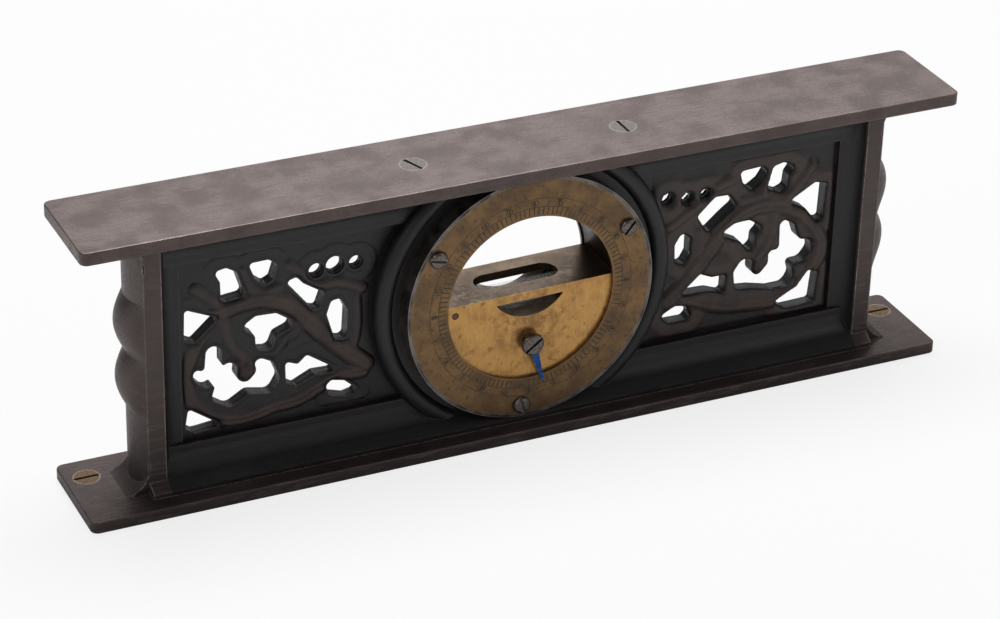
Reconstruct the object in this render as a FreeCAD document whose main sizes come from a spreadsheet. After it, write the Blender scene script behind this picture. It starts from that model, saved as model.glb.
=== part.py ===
"""Antique pocket inclinometer: a cast iron frame with fretwork panels that carries a turned
housing, in which a brass wheel with a level vial turns behind a graduated dial.

Frame of the part: +X along the rails, +Y towards the back, +Z up, origin at the middle of
the base rail's underside. All sizes are in millimetres.
"""
import FreeCAD
import Part
import math
import os
import re
import Sketcher

from FreeCAD import Placement, Rotation, Vector

doc = FreeCAD.newDocument("Inclinometer")
sheet = doc.addObject("Spreadsheet::Sheet", "Sizes")

# Driving dimensions: alias, value and meaning
SIZES = [
    ("rail_length", 178, "length of both rails"),
    ("rail_width", 22.2, "width of both rails"),
    ("top_rail_thickness", 2.6, "top rail"),
    ("base_rail_thickness", 2.4, "base rail"),
    ("rail_corner_radius", 1.5, "rounding of the rail corners in plan"),
    ("rail_edge_radius", 0.3, "worn edges of the rails"),
    ("column_inset", 13.1, "from a rail end to the outer edge of the column strip"),
    ("column_strip_width", 3.4, "flat strip on the face of each end column"),
    ("column_depth", 10.5, "end columns, front to back"),
    ("column_flare", 4.4, "how far a column spreads at its foot and head"),
    ("column_flare_height", 7.5, "height over which it spreads"),
    ("lobe_reach", 4.0, "how far the two lobes of an end column stand out"),
    ("lobe_valley", 2.0, "how far the rounded back of an end column stands out beside its lobes"),
    ("lobe_height", 11.6, "one lobe"),
    ("lobe_joint", 27.9, "joint between the two lobes above the base rail"),
    ("web_thickness", 2.6, "fretwork panels"),
    ("hole_draft", 0.7, "widening of the round holes from their waist to the web's faces"),
    ("plinth_width", 15.0, "mouldings where they meet a rail"),
    ("plinth_height", 0.9, "flat edge of the mouldings at a rail"),
    ("ledge_width", 10.5, "lower bead of the mouldings"),
    ("ledge_height", 2.3, "lower bead above its rail"),
    ("bead_width", 5.8, "upper bead of the mouldings"),
    ("bead_height", 7.6, "upper bead above its rail"),
    ("bead_flat", 0.9, "flat edge of the upper bead"),
    ("panel_margin", 4.3, "moulding beside a column strip"),
    ("panel_edge_width", 4.4, "that moulding where it meets the panel, front to back"),
    ("annulus_groove", 1.6, "groove between the housing and the round moulding"),
    ("annulus_moulding", 3.35, "round moulding about the housing, radial"),
    ("annulus_groove_width", 7.2, "casting in the groove, front to back"),
    ("annulus_width", 10.0, "casting over the round moulding, front to back"),
    ("annulus_foot_width", 3.8, "casting where the round moulding meets a panel, front to back"),
    ("rail_cover", 3.45, "from the housing to the outer face of each rail"),
    ("housing_wall", 4.35, "turned housing about the wheel, radial"),
    ("housing_width", 14.6, "turned housing, front to back"),
    ("housing_clearance", 0.05, "housing in the frame, radial"),
    ("lip_lap", 0.3, "sight hole in the back lip inside the wheel's rim"),
    ("lip_thickness", 0.7, "back lip of the housing"),
    ("dial_land", 0.75, "edge of the housing about the dial"),
    ("dial_thickness", 0.7, "graduated dial"),
    ("dial_clearance", 0.08, "dial in its recess, radial"),
    ("dial_lap", 0.45, "sight hole in the dial inside the wheel's rim"),
    ("dial_screw_inset", 2.55, "dial screws inside the edge of the housing"),
    ("dial_screw_head_radius", 1.75, "dial screws"),
    ("dial_screw_head_height", 0.9, "dial screws"),
    ("dial_screw_shank_radius", 0.85, "dial screws"),
    ("dial_screw_length", 4.0, "dial screws below the head"),
    ("wheel_radius", 21.0, "vial wheel"),
    ("wheel_clearance", 0.05, "vial wheel in the housing"),
    ("wheel_rim", 3.4, "rim of the wheel, radial"),
    ("flat_height", 1.2, "flat of the wheel above its centre"),
    ("wheel_set_angle", 1.2, "the wheel as it stands, degrees"),
    ("vial_bore_radius", 3.05, "bore for the level vial"),
    ("vial_drop", 3.8, "axis of the vial below the flat"),
    ("sight_slot_lap", 1.3, "from the end of the slot in the flat to the vial's bedding"),
    ("sight_slot_width", 5.9, "slot in the flat over the vial"),
    ("window_chord", 14.0, "straight top edge of the side window"),
    ("window_sag", 3.6, "depth of the side window below that edge"),
    ("window_drop", 1.7, "that edge below the flat"),
    ("vial_radius", 2.65, "glass vial"),
    ("vial_wall", 0.6, "glass vial"),
    ("bubble_length", 7.0, "bubble in the spirit"),
    ("bubble_depth", 1.1, "bubble below the top of the spirit"),
    ("bedding_length", 3.6, "plaster at each end of the vial"),
    ("plug_gap", 0.5, "between the vial and a plug"),
    ("plug_length", 5.4, "brass plugs that close the vial bore"),
    ("plug_sink", 0.83, "plugs below the wheel's edge"),
    ("seat_clearance", 0.03, "plugs, plaster and pin in their holes"),
    ("pin_radius", 0.7, "pin through the left plug"),
    ("pin_length", 5.0, "pin through the left plug"),
    ("pin_offset", 1.85, "pin above the axis of the vial"),
    ("pin_inset", 1.4, "pin from the inner end of its plug"),
    ("spring_radius", 12.0, "bow of the friction spring"),
    ("spring_thickness", 0.35, "friction spring"),
    ("spring_width", 5.0, "friction spring, front to back"),
    ("spring_length", 11.0, "friction spring, end to end"),
    ("spring_clearance", 0.3, "about the spring in its recess"),
    ("pivot_inset", 11.4, "pointer screw from the lowest point of the wheel"),
    ("spacer_radius", 1.8, "washer under the pointer"),
    ("spacer_thickness", 0.9, "washer under the pointer"),
    ("pointer_eye_radius", 1.75, "eye of the pointer"),
    ("pointer_length", 8.7, "from the pointer screw to the tip"),
    ("pointer_root_width", 2.1, "blade at the eye"),
    ("pointer_tip_width", 0.35, "blade at the tip"),
    ("pointer_thickness", 0.4, "pointer"),
    ("pointer_set_angle", 15, "the pointer as it stands, degrees"),
    ("pointer_screw_head_radius", 2.25, "pointer screw"),
    ("pointer_screw_head_height", 0.8, "pointer screw"),
    ("pointer_screw_shank_radius", 1.0, "pointer screw"),
    ("pointer_screw_length", 5.5, "pointer screw below its head"),
    ("pivot_clearance", 0.05, "pointer and washer on their screw, radial"),
    ("clamp_screw_inset", 3.85, "clamp screws inside the side of the housing"),
    ("clamp_head_radius", 2.45, "clamp screws"),
    ("clamp_head_height", 1.4, "clamp screws"),
    ("clamp_shank_radius", 1.5, "clamp screws"),
    ("clamp_pad_thickness", 0.8, "thin side of the pads under the clamp screws"),
    ("clamp_pad_radius", 1.45, "brass pads under the clamp screws"),
    ("clamp_clearance", 0.05, "clamp screws and pads in their holes, and pads off the housing"),
    ("plug_screw_inset", 4.2, "base plug screws from the ends of the rail"),
    ("plug_screw_offset", 4.9, "base plug screws behind the middle"),
    ("plug_screw_radius", 2.4, "base plug screws"),
    ("plug_screw_sink", 0.15, "base plug screws above the underside"),
    ("driver_slot_width", 0.7, "screwdriver slots"),
    ("driver_slot_depth", 0.55, "screwdriver slots"),
]
ALIASES = set()
for row, (alias, value, meaning) in enumerate(SIZES, start=1):
    sheet.set("A%d" % row, meaning)
    sheet.set("B%d" % row, str(value))
    sheet.setAlias("B%d" % row, alias)
    ALIASES.add(alias)
doc.recompute()

# Sizes and places that several sub-parts share, worked out from the driving dimensions
DERIVED = {
    "wheel_bore": "wheel_radius + wheel_clearance",
    "housing_radius": "wheel_bore + housing_wall",
    "frame_bore": "housing_radius + housing_clearance",
    "annulus_land": "frame_bore + annulus_groove",
    "annulus_radius": "annulus_land + annulus_moulding",
    "overall_height": "2 * (housing_radius + rail_cover)",
    "axis_height": "overall_height / 2",
    "rail_underside": "overall_height - top_rail_thickness",
    "column_edge": "rail_length / 2 - column_inset",
    "strip_edge": "column_edge - column_strip_width",
    "panel_edge": "strip_edge - panel_margin",
    "housing_face": "housing_width / 2",
    "dial_back": "housing_face - dial_thickness",
    "lip_inside": "housing_face - lip_thickness",
    "wheel_face": "dial_back - wheel_clearance",
    "wheel_back": "lip_inside - wheel_clearance",
    "wheel_hole_radius": "wheel_radius - wheel_rim",
    "lip_radius": "wheel_hole_radius - lip_lap",
    "aperture_radius": "wheel_hole_radius - dial_lap",
    "dial_radius": "housing_radius - dial_land",
    "dial_screw_circle": "housing_radius - dial_screw_inset",
    "vial_axis": "flat_height - vial_drop",
    "plug_radius": "vial_bore_radius - seat_clearance",
    "plug_outer_end": "sqrt(wheel_radius ^ 2 - (plug_radius - vial_axis) ^ 2) - plug_sink",
    "plug_inner_end": "plug_outer_end - plug_length",
    "vial_length": "2 * (plug_inner_end - plug_gap)",
    "sight_slot_length": "vial_length - 2 * bedding_length - 2 * sight_slot_lap",
    "pin_distance": "plug_inner_end + pin_inset",
    "pin_height": "vial_axis + pin_offset",
    "pivot_drop": "wheel_radius - pivot_inset",
    "pointer_back": "wheel_face + spacer_thickness",
    "window_top": "flat_height - window_drop",
    "window_radius": "(window_chord ^ 2 / 4 + window_sag ^ 2) / (2 * window_sag)",
    "spring_centre": "wheel_radius - spring_radius",
    "spring_bow": "sqrt((spring_radius - spring_thickness) ^ 2 - spring_length ^ 2 / 4)",
    "spring_ends": "spring_centre + spring_bow",
    "spring_floor": "spring_ends - seat_clearance",
    "clamp_screw_distance": "housing_radius - clamp_screw_inset",
    "pad_top": "sqrt(frame_bore ^ 2 - (clamp_screw_distance - clamp_shank_radius) ^ 2) + clamp_pad_thickness",
    "clamp_screw_tip": "axis_height + pad_top",
    "plug_screw_distance": "rail_length / 2 - plug_screw_inset",
}
DIAL_SCREW_ANGLES = (30, 148, 266)
# How far a cutting tool runs past the face it cuts
OVERRUN = 1
# Two places closer than this are the same
TINY = 1e-6

# Front-facing pieces are drawn as seen from the front: x right, y up, z towards the viewer
FRONT = Rotation(Vector(1, 0, 0), 90)
ALONG_X = Rotation(Vector(0, 1, 0), 90)
SIDES = (("left", -1), ("right", 1))


def bound(text):
    """The expression with each size in it written as cells of the sheet."""
    def written(word):
        if word[0] in DERIVED:
            return "(%s)" % bound(DERIVED[word[0]])
        return "Sizes." + word[0] if word[0] in ALIASES else word[0]

    return re.sub(r"[a-z_]+", written, str(text))


def dim(text):
    """The present value of a size or of an expression of sizes."""
    return float(doc.getObject("Sizes").evalExpression(bound(text)))


def bind(thing, **sizes):
    for name, text in sizes.items():
        thing.setExpression(name, bound(text))
    return thing


def place(thing, x=0, y=0, z=0, turn=None):
    """Set where a thing lies; turn is a Rotation."""
    if turn is not None:
        thing.Placement = Placement(Vector(), turn)
    for letter, text in (("x", x), ("y", y), ("z", z)):
        thing.setExpression("Placement.Base." + letter, bound(text))
    return thing


def made(kind, name, **links):
    thing = doc.addObject(kind, name)
    for link, value in links.items():
        setattr(thing, link, value)
    return thing


def box(name, length, width, height, x=0, y=0, z=0):
    """A box centred on x and y that stands on z."""
    thing = bind(made("Part::Box", name), Length=length, Width=width, Height=height)
    return place(thing, "%s - (%s) / 2" % (x, length), "%s - (%s) / 2" % (y, width), z)


def cylinder(name, radius, height, x=0, y=0, z=0, turn=None):
    thing = bind(made("Part::Cylinder", name), Radius=radius, Height=height)
    return place(thing, x, y, z, turn)


def fused(name, shapes):
    return made("Part::MultiFuse", name, Shapes=shapes)


def common(name, base, tool):
    return made("Part::Common", name, Base=base, Tool=tool)


def cut(name, base, *tools):
    """The base less every tool."""
    tool = tools[0] if len(tools) == 1 else fused(name + "_tools", list(tools))
    return made("Part::Cut", name, Base=base, Tool=tool)


def turned(name, corners):
    """A body of revolution about Z: its outline's corners as (radius, height) expressions."""
    body = doc.addObject("PartDesign::Body", name)
    sketch = body.newObject("Sketcher::SketchObject", name + "_outline")
    plane = next(item for item in body.Origin.OriginFeatures if item.Role == "XZ_Plane")
    sketch.AttachmentSupport = [(plane, "")]
    sketch.MapMode = "FlatFace"
    count = len(corners)
    # The corners start on a rough ring, and the constraints carry them to their places
    ring = []
    for index in range(count):
        angle = 2 * math.pi * index / count
        ring.append(Vector(2 + math.cos(angle), math.sin(angle), 0))
    for index in range(count):
        sketch.addGeometry(Part.LineSegment(ring[index], ring[(index + 1) % count]), False)
    for index in range(count):
        sketch.addConstraint(Sketcher.Constraint("Coincident", index, 2, (index + 1) % count, 1))
    for index, (radius, height) in enumerate(corners):
        for kind, text, start in (("DistanceX", radius, ring[index].x), ("DistanceY", height, ring[index].y)):
            number = sketch.addConstraint(Sketcher.Constraint(kind, -1, 1, index, 1, start))
            sketch.setExpression("Constraints[%d]" % number, bound(text))
    feature = body.newObject("PartDesign::Revolution", name + "_turned")
    feature.Profile = sketch
    feature.ReferenceAxis = (sketch, ["V_Axis"])
    feature.Angle = 360
    body.Tip = feature
    return body


def rim_edges(shape, radius, height):
    """Names of the circular edges of this radius at this height."""
    names = []
    for number, edge in enumerate(shape.Edges, start=1):
        if not isinstance(edge.Curve, Part.Circle):
            continue
        if abs(edge.Curve.Radius - radius) < TINY and abs(edge.Curve.Center.z - height) < TINY:
            names.append("Edge%d" % number)
    return names


def round_rim(body, radius, height, size):
    """Round the edge of a turned body; size is an expression."""
    doc.recompute()
    base = body.Tip
    feature = body.newObject("PartDesign::Fillet", body.Name + "_rounding")
    feature.Base = (base, rim_edges(base.Shape, radius, height))
    bind(feature, Radius=size)
    body.Tip = feature
    return body


def screw(name, head_radius, head_height, shank_radius, length, domed=True):
    """A slotted screw about Z, its head standing on z = 0 and its shank below."""
    head, tall, shank = head_radius, head_height, shank_radius
    corners = [(0, tall), (head, tall), (head, 0), (shank, 0), (shank, "-" + length), (0, "-" + length)]
    body = turned(name + "_blank", corners)
    if domed:
        round_rim(body, dim(head), dim(tall), tall + " * 0.7")
    slot_length = head + " * 2 + 1"
    slot = box(name + "_slot", slot_length, "driver_slot_width", "driver_slot_depth + 1",
               z="%s - driver_slot_depth" % tall)
    return cut(name, body, slot)


def arc(start, through, end):
    return Part.Arc(start, through, end).toShape()


def line(start, end):
    return Part.LineSegment(start, end).toShape()


def is_upright(edge):
    return abs(edge.Vertexes[0].Z - edge.Vertexes[-1].Z) > TINY


def is_level(edge):
    return not is_upright(edge)


def is_circle(edge):
    return isinstance(edge.Curve, Part.Circle)


def rounded(name, base, radius, wanted):
    """The base with each wanted edge rounded."""
    doc.recompute()
    edges = []
    for number, edge in enumerate(base.Shape.Edges, start=1):
        if wanted(edge):
            edges.append((number, radius, radius))
    return made("Part::Fillet", name, Base=base, Edges=edges)


# Frame casting

def softened_rail(name, thickness, z):
    """A rail with rounded corners and worn edges."""
    rail = box(name + "_bar", "rail_length", "rail_width", thickness, z=z)
    corners = rounded(name + "_corners", rail, dim("rail_corner_radius"), is_upright)
    return rounded(name, corners, dim("rail_edge_radius"), is_level)


def moulding(name, rail_face, up):
    """Plinth, bead and coves along a rail: rail_face is its height, up is 1 or -1."""
    plinth, ledge, bead = dim("plinth_width") / 2, dim("ledge_width") / 2, dim("bead_width") / 2
    levels = ("0", "plinth_height", "ledge_height", "bead_height - bead_flat", "bead_height")
    heights = [rail_face + up * dim(level) for level in levels]
    end = dim("column_edge")

    def at(y, z):
        return Vector(-end, y, z)

    edges = []
    for side in (1, -1):
        foot, step = at(side * plinth, heights[0]), at(side * plinth, heights[1])
        low, high = at(side * ledge, heights[2]), at(side * bead, heights[3])
        top = at(side * bead, heights[4])
        middle = at(side * (bead + 0.27 * (ledge - bead)), heights[2] + 0.36 * (heights[3] - heights[2]))
        run = [line(foot, step), line(step, low), arc(low, middle, high), line(high, top)]
        edges.append((run, foot, top))
    (front, front_foot, front_top), (back, back_foot, back_top) = edges
    loop = front + [line(front_top, back_top)] + back + [line(back_foot, front_foot)]
    face = Part.Face(Part.Wire(Part.__sortEdges__(loop)))
    return made("Part::Feature", name, Shape=face.extrude(Vector(2 * end, 0, 0)))


# Sections of a lobe: share of its height, and how far it has swelled there
LOBE_SECTIONS = ((0, 0), (0.22, 0.62), (0.56, 1), (0.85, 0.55), (1, 0))


def column(name, side):
    """The flat strip of an end column, spreading at foot and head."""
    half = dim("column_depth") / 2
    inner, outer = side * dim("strip_edge"), side * dim("column_edge")
    foot, head = dim("base_rail_thickness"), dim("rail_underside")
    flare, tall = side * dim("column_flare"), dim("column_flare_height")

    def at(x, z):
        return Vector(x, -half, z)

    loop = [
        line(at(inner, foot), at(outer + flare, foot)),
        arc(at(outer + flare, foot), at(outer + 0.27 * flare, foot + 0.27 * tall), at(outer, foot + tall)),
        line(at(outer, foot + tall), at(outer, head - tall)),
        arc(at(outer, head - tall), at(outer + 0.27 * flare, head - 0.27 * tall), at(outer + flare, head)),
        line(at(outer + flare, head), at(inner, head)),
        line(at(inner, head), at(inner, foot)),
    ]
    shape = Part.Face(Part.Wire(loop)).extrude(Vector(0, 2 * half, 0))

    def round_back(out, z):
        left, right = Vector(outer, -half, z), Vector(outer, half, z)
        return Part.Wire([arc(left, Vector(outer + side * out, 0, z), right), line(right, left)])

    valley, reach, joint = dim("lobe_valley"), dim("lobe_reach"), foot + dim("lobe_joint")
    shaft = Part.Face(round_back(valley, foot)).extrude(Vector(0, 0, head - foot))
    shape = shape.fuse(shaft)
    for low in (joint - dim("lobe_height"), joint):
        sections = []
        for share, swell in LOBE_SECTIONS:
            sections.append(round_back(valley + swell * (reach - valley), low + share * dim("lobe_height")))
        shape = shape.fuse(Part.makeLoft(sections, True, False))
    return made("Part::Feature", name, Shape=shape.removeSplitter())


def panel_edge_moulding(name, side):
    """The cove between a column strip and the fretwork."""
    outer, inner = side * dim("strip_edge"), side * dim("panel_edge")
    half, bead = dim("column_depth") / 2, dim("panel_edge_width") / 2
    foot, head = dim("base_rail_thickness"), dim("rail_underside")

    def at(x, y):
        return Vector(x, y, foot)

    knee = outer + 0.3 * (inner - outer)
    loop = [
        line(at(outer, -half), at(outer, half)),
        arc(at(outer, half), at(knee, bead + 0.25 * (half - bead)), at(inner, bead)),
        line(at(inner, bead), at(inner, -bead)),
        arc(at(inner, -bead), at(knee, -bead - 0.25 * (half - bead)), at(outer, -half)),
    ]
    shape = Part.Face(Part.Wire(loop)).extrude(Vector(0, 0, head - foot))
    return made("Part::Feature", name, Shape=shape)


def annulus():
    """The round moulding about the housing, between the rails."""
    inner, land, outer = dim("frame_bore") - OVERRUN, dim("annulus_land"), dim("annulus_radius")
    groove, crown = dim("annulus_groove_width") / 2, dim("annulus_width") / 2
    web = dim("annulus_foot_width") / 2

    def at(r, y):
        return Vector(r, y, 0)

    middle = (land + outer) / 2
    loop = [
        line(at(inner, -groove), at(land, -groove)),
        arc(at(land, -groove), at(middle, -crown), at(outer, -web)),
        line(at(outer, -web), at(outer, web)),
        arc(at(outer, web), at(middle, crown), at(land, groove)),
        line(at(land, groove), at(inner, groove)),
        line(at(inner, groove), at(inner, -groove)),
    ]
    ring = Part.Face(Part.Wire(loop)).revolve(Vector(), Vector(0, 1, 0), 360)
    ring.translate(Vector(0, 0, dim("axis_height")))
    return made("Part::Feature", "annulus", Shape=ring)


# The fretwork openings of each panel as corners (distance from the middle, height), and the
# radius that rounds their corners. The two panels of the casting are not quite alike.
OPENINGS = {
    "left": [
        (0.8, [(60.0, 41.5), (59.9, 37.3), (55.2, 37.8), (56.8, 43.0), (58.8, 44.2), (61.2, 43.8)]),
        (0.7, [(53.2, 40.8), (51.2, 39.2), (49.8, 39.9), (48.8, 43.0), (50.6, 44.3), (54.5, 44.2)]),
        (0.8, [(42.1, 32.3), (40.8, 31.9), (39.6, 35.2), (43.8, 38.0), (45.2, 39.6), (47.3, 38.9)]),
        (0.9, [(39.2, 30.5), (37.6, 25.0), (35.3, 24.4), (35.0, 30.4), (36.4, 33.4), (38.3, 33.2)]),
        (0.6, [(67.2, 31.0), (65.2, 29.9), (60.4, 34.2), (67.0, 37.2)]),
        (1.2, [(53.4, 29.1), (53.2, 25.8), (50.3, 25.4), (49.2, 28.1), (44.8, 29.8), (49.2, 32.9),
               (53.2, 33.1), (56.3, 31.2)]),
        (1.6, [(63.4, 23.5), (65.2, 24.3), (65.8, 22.6), (63.2, 19.6), (61.2, 20.6), (62.2, 17.2),
               (58.6, 14.7), (54.8, 17.0), (50.2, 16.0), (48.5, 18.9), (50.0, 22.8), (52.4, 24.1),
               (53.6, 23.4), (53.1, 21.4), (55.2, 19.3), (57.2, 20.6), (56.9, 23.4), (58.6, 24.6),
               (60.0, 23.8), (60.0, 27.6), (61.6, 28.7), (63.0, 27.9)]),
        (0.6, [(47.4, 17.7), (45.4, 16.4), (41.6, 18.2), (36.4, 18.0), (43.2, 22.8), (45.0, 21.2),
               (47.5, 22.2)]),
        (0.8, [(38.8, 13.1), (35.3, 12.0), (32.4, 12.7), (35.7, 15.7), (38.3, 16.3), (39.4, 15.3)]),
        (0.5, [(67.4, 12.2), (65.5, 10.9), (60.1, 11.5), (66.7, 16.3)]),
    ],
    "right": [
        (0.8, [(40.4, 31.9), (44.7, 35.5), (46.6, 36.9), (44.6, 39.4), (41.7, 39.5), (37.9, 36.0)]),
        (0.9, [(33.3, 30.6), (33.5, 26.9), (35.4, 25.7), (36.7, 28.1), (36.7, 31.4), (34.8, 33.2)]),
        (1.2, [(47.8, 28.6), (49.8, 26.0), (51.0, 27.1), (51.1, 29.2), (52.8, 30.8), (49.6, 33.0),
               (46.0, 32.9), (42.9, 31.1)]),
        (0.8, [(53.0, 39.2), (55.9, 37.8), (57.6, 38.5), (57.8, 41.2), (59.1, 42.9), (56.5, 44.3),
               (54.2, 43.8)]),
        (0.7, [(47.5, 41.6), (49.4, 39.4), (51.8, 41.0), (53.0, 43.0), (51.6, 44.3), (46.8, 44.0)]),
        (0.6, [(62.1, 33.1), (64.5, 30.0), (66.1, 29.8), (66.4, 38.0), (63.8, 38.6), (58.2, 35.4)]),
        (1.6, [(56.7, 25.1), (54.3, 25.4), (54.4, 22.6), (52.2, 20.1), (50.5, 21.4), (51.0, 24.2),
               (48.4, 24.6), (46.7, 22.1), (47.2, 18.0), (51.0, 17.6), (55.4, 16.5), (59.2, 16.5),
               (60.3, 18.8), (59.4, 21.4), (62.5, 21.4), (64.1, 23.6), (63.5, 26.4), (61.0, 26.4),
               (59.7, 30.2), (57.4, 31.6), (56.5, 30.8)]),
        (0.6, [(41.6, 18.9), (44.9, 17.6), (45.0, 21.9), (41.9, 21.9), (39.2, 23.1), (34.5, 19.2)]),
        (0.8, [(32.7, 13.5), (36.7, 13.4), (37.6, 14.4), (36.4, 16.6), (34.0, 17.1), (30.8, 15.4)]),
        (0.5, [(58.9, 11.4), (65.3, 11.6), (65.9, 18.4), (63.5, 19.2), (61.2, 16.0), (56.2, 13.5)]),
    ],
}
# The round holes: distance from the middle, height and radius of the waist halfway through
HOLES = {
    "left": [(41.2, 40.1, 1.15), (37.5, 40.5, 1.5), (33.3, 40.3, 1.05)],
    "right": [(31.3, 40.8, 1.2), (35.6, 40.3, 1.0), (39.5, 40.5, 1.05)],
}
# The panel that the openings are drawn in: its two ends and its foot and head
DRAWN_NEAR, DRAWN_FAR, DRAWN_FOOT, DRAWN_HEAD = 30.4, 68.2, 10.0, 47.5


def rounded_outline(corners, radius):
    """A closed wire through the corners, each rounded as far as its two sides allow."""
    count = len(corners)
    ends = []
    for index in range(count):
        before, corner, after = corners[index - 1], corners[index], corners[(index + 1) % count]
        back, ahead = before - corner, after - corner
        half_angle = back.getAngle(ahead) / 2
        reach = min(radius / math.tan(half_angle), 0.48 * back.Length, 0.48 * ahead.Length)
        start, end = corner + back * (reach / back.Length), corner + ahead * (reach / ahead.Length)
        bisector = back.normalize() + ahead.normalize()
        inset = reach / math.cos(half_angle) - reach * math.tan(half_angle)
        ends.append((start, corner + bisector.normalize() * inset, end))
    edges = []
    for index, (start, middle, end) in enumerate(ends):
        edges.append(arc(start, middle, end))
        edges.append(line(end, ends[(index + 1) % count][0]))
    return Part.Wire(edges)


def fretwork_cutter():
    """The openings of both panels, stretched with the panel and run through the web."""
    near, far = dim("annulus_radius"), dim("panel_edge")
    foot, head = dim("base_rail_thickness + bead_height"), dim("rail_underside - bead_height")
    half = dim("web_thickness") / 2 + OVERRUN
    across, up = (far - near) / (DRAWN_FAR - DRAWN_NEAR), (head - foot) / (DRAWN_HEAD - DRAWN_FOOT)
    shrink = min(across, up)
    flare = dim("hole_draft")

    def at(side, out, height):
        return Vector(side * (near + (out - DRAWN_NEAR) * across), -half, foot + (height - DRAWN_FOOT) * up)

    prisms = []
    for name, side in SIDES:
        for radius, corners in OPENINGS[name]:
            wire = rounded_outline([at(side, out, height) for out, height in corners], radius * shrink)
            prisms.append(Part.Face(wire).extrude(Vector(0, 2 * half, 0)))
        for out, height, radius in HOLES[name]:
            middle = at(side, out, height) + Vector(0, half, 0)
            for way in (-1, 1):
                waist, away = radius * shrink, Vector(0, way, 0)
                prisms.append(Part.makeCone(waist, waist + flare, half, middle, away))
    return made("Part::Feature", "fretwork_cutter", Shape=Part.makeCompound(prisms))


def frame_casting():
    base = softened_rail("base_rail", "base_rail_thickness", 0)
    top = softened_rail("top_rail", "top_rail_thickness", "rail_underside")
    web = box("web", "strip_edge * 2", "web_thickness", "rail_underside - base_rail_thickness",
              z="base_rail_thickness")
    rail_gap = box("rail_gap", "annulus_radius * 3", "rail_width", "rail_underside - base_rail_thickness",
                   z="base_rail_thickness")
    ring = common("annulus_between_rails", annulus(), rail_gap)
    pieces = [base, top, web, ring]
    pieces.append(moulding("base_moulding", dim("base_rail_thickness"), 1))
    pieces.append(moulding("top_moulding", dim("rail_underside"), -1))
    for name, side in SIDES:
        pieces.append(column(name + "_column", side))
        pieces.append(panel_edge_moulding(name + "_panel_edge", side))
    body = fused("casting_body", pieces)
    bore = cylinder("housing_bore", "frame_bore", "rail_width + 2 * %d" % OVERRUN,
                    y="rail_width / 2 + %d" % OVERRUN, z="axis_height", turn=FRONT)
    tools = [bore, fretwork_cutter()]
    for name, side in SIDES:
        x = "%d * clamp_screw_distance" % side
        tools.append(cylinder(name + "_clamp_hole", "clamp_shank_radius + clamp_clearance", "axis_height",
                              x=x, z="axis_height"))
        tools.append(cylinder(name + "_clamp_head_seat", "clamp_head_radius + clamp_clearance",
                              "clamp_head_height + clamp_clearance + %d" % OVERRUN, x=x,
                              z="overall_height - clamp_head_height - clamp_clearance"))
        tools.append(cylinder(name + "_plug_screw_hole", "plug_screw_radius + seat_clearance",
                              "base_rail_thickness + 2 * %d" % OVERRUN, x="%d * plug_screw_distance" % side,
                              y="plug_screw_offset", z=-OVERRUN))
    return cut("frame_casting", body, *tools)


# Housing and dial

def in_front(thing, x=0, height=0, out=0, turn=0.0):
    """Set a piece that is drawn as seen from the front; height is from the dial's centre."""
    rotation = FRONT.multiply(Rotation(Vector(0, 0, 1), turn))
    return place(thing, x, "-(%s)" % out, "axis_height + (%s)" % height, rotation)


def dial_screw_place(angle):
    x = "dial_screw_circle * cos(%d deg)" % angle
    height = "dial_screw_circle * sin(%d deg)" % angle
    return x, height


def dial_screw_holes(name, radius, depth, bottom):
    """The three holes as seen from the front, each standing on bottom."""
    holes = []
    for angle in DIAL_SCREW_ANGLES:
        x, y = dial_screw_place(angle)
        holes.append(cylinder("%s_hole_%d" % (name, angle), radius, depth, x, y, bottom))
    return holes


def housing_drum():
    seat = "dial_radius + dial_clearance"
    corners = [
        ("housing_radius", "housing_face"), (seat, "housing_face"),
        (seat, "dial_back"), ("wheel_bore", "dial_back"),
        ("wheel_bore", "-lip_inside"), ("lip_radius", "-lip_inside"),
        ("lip_radius", "-housing_face"), ("housing_radius", "-housing_face"),
    ]
    blank = turned("housing_blank", corners)
    depth = "(dial_screw_length - dial_thickness + seat_clearance)"
    holes = dial_screw_holes("housing", "dial_screw_shank_radius + seat_clearance", depth + " + 1",
                             "dial_back - " + depth)
    return in_front(cut("housing_drum", blank, *holes))


def dial_ring():
    corners = [
        ("aperture_radius", "dial_back"), ("dial_radius", "dial_back"), ("dial_radius", "housing_face"),
        ("aperture_radius", "housing_face"),
    ]
    blank = turned("dial_blank", corners)
    holes = dial_screw_holes("dial", "dial_screw_shank_radius + seat_clearance", "dial_thickness + 2",
                             "dial_back - 1")
    return in_front(cut("dial_ring", blank, *holes))


def dial_screws():
    screws = []
    for angle in DIAL_SCREW_ANGLES:
        one = screw("dial_screw_%d" % angle, "dial_screw_head_radius", "dial_screw_head_height",
                    "dial_screw_shank_radius", "dial_screw_length")
        x, height = dial_screw_place(angle)
        screws.append(in_front(one, x, height, "housing_face", angle + 20))
    return made("Part::Compound", "dial_screws", Links=screws)


# Vial wheel: every piece is drawn about the wheel's centre, and the wheel is then turned

def on_wheel(thing):
    return in_front(thing, turn=dim("wheel_set_angle"))


def window_tool():
    """The side window: a round segment below its straight top edge, through the wheel."""
    disc = cylinder("window_disc", "window_radius", "housing_width", 0,
                    "window_top + window_radius - window_sag", "-housing_face")
    below = box("window_below", "window_chord + 2", "window_sag + 2", "housing_width",
                y="window_top - (window_sag + 2) / 2", z="-housing_face")
    return common("window_segment", disc, below)


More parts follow.
